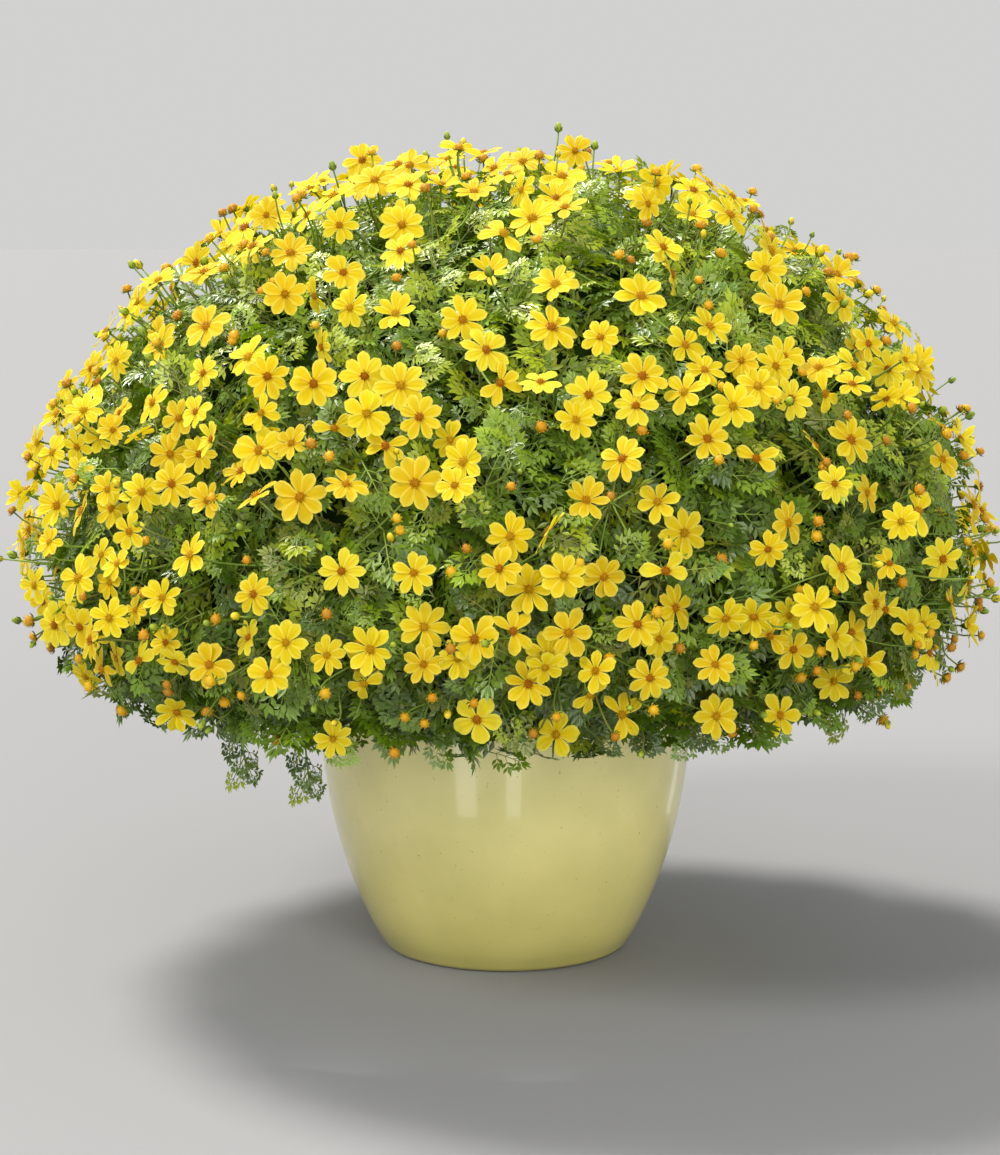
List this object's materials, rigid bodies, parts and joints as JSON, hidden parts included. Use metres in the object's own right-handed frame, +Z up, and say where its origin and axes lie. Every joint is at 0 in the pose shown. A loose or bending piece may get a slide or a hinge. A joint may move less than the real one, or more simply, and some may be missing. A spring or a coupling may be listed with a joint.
{
  "type": "potted bidens",
  "caption": "Potted bidens: a wide dome of yellow flowers over finely cut green leaves, spilling past the rim of a round, glazed, pale yellow-green pot.",
  "frame": {"origin": "the middle of the pot's underside, on the floor", "axes": "+Z up the pot's axis, -Y towards the viewer of the picture"},
  "size_m": [0.6942, 0.7049, 0.5815],
  "materials": {
    "pot": "gloss",
    "soil": "matte",
    "leaf": "matte",
    "bloom": "satin"
  },
  "bodies": {
    "root": {"pot": "pot", "soil": "soil", "leafy_stem_01": "leaf", "leafy_stem_02": "leaf", "leafy_stem_03": "leaf", "leafy_stem_04": "leaf", "leafy_stem_05": "leaf", "leafy_stem_06": "leaf", "leafy_stem_07": "leaf", "leafy_stem_08": "leaf", "leafy_stem_09": "leaf", "leafy_stem_10": "leaf", "leafy_stem_11": "leaf", "leafy_stem_12": "leaf", "leafy_stem_13": "leaf", "leafy_stem_14": "leaf", "flower_spray_01": "bloom", "flower_spray_02": "bloom", "flower_spray_03": "bloom", "flower_spray_04": "bloom", "flower_spray_05": "bloom", "flower_spray_06": "bloom", "flower_spray_07": "bloom", "flower_spray_08": "bloom", "flower_spray_09": "bloom", "flower_spray_10": "bloom", "flower_spray_11": "bloom", "flower_spray_12": "bloom", "flower_spray_13": "bloom", "flower_spray_14": "bloom", "flower_spray_15": "bloom", "flower_spray_16": "bloom", "flower_spray_17": "bloom", "flower_spray_18": "bloom", "flower_spray_19": "bloom", "flower_spray_20": "bloom", "flower_spray_21": "bloom", "flower_spray_22": "bloom", "flower_spray_23": "bloom", "flower_spray_24": "bloom", "flower_spray_25": "bloom", "flower_spray_26": "bloom", "flower_spray_27": "bloom", "flower_spray_28": "bloom", "flower_spray_29": "bloom", "flower_spray_30": "bloom", "flower_spray_31": "bloom", "flower_spray_32": "bloom", "flower_spray_33": "bloom", "flower_spray_34": "bloom", "flower_spray_35": "bloom", "flower_spray_36": "bloom", "flower_spray_37": "bloom", "flower_spray_38": "bloom", "flower_spray_39": "bloom", "flower_spray_40": "bloom", "flower_spray_41": "bloom", "flower_spray_42": "bloom"}
  },
  "joints": []
}
